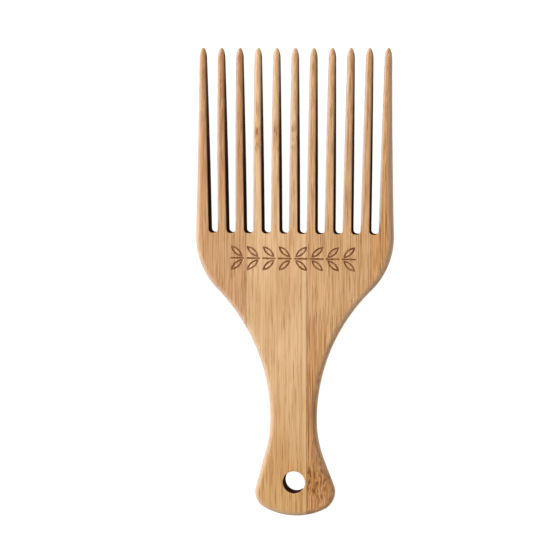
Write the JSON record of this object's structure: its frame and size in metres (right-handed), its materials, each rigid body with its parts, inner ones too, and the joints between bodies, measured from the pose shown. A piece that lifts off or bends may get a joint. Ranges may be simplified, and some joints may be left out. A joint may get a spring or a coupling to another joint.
{
  "type": "wide tooth comb",
  "caption": "Flat bamboo hair pick with long round-ended teeth, sloping shoulders, a waisted handle and a hanging hole.",
  "frame": {"origin": "on the back face, under the middle of the comb's length and width", "axes": "+X across the teeth, to the right with the engraved face up and the teeth pointing away; +Y along the teeth, towards their tips; +Z through the thickness, out of the engraved face"},
  "size_m": [0.0804, 0.19, 0.008],
  "materials": {
    "bamboo_left": "sanded and lightly oiled carbonised bamboo, reddish brown",
    "bamboo_centre_left": "sanded and lightly oiled carbonised bamboo, light honey",
    "bamboo_centre_right": "sanded and lightly oiled carbonised bamboo, mid brown",
    "bamboo_right": "sanded and lightly oiled carbonised bamboo, orange brown"
  },
  "bodies": {
    "root": {"left_stave": "bamboo_left", "centre_left_stave": "bamboo_centre_left", "centre_right_stave": "bamboo_centre_right", "right_stave": "bamboo_right"}
  },
  "joints": []
}
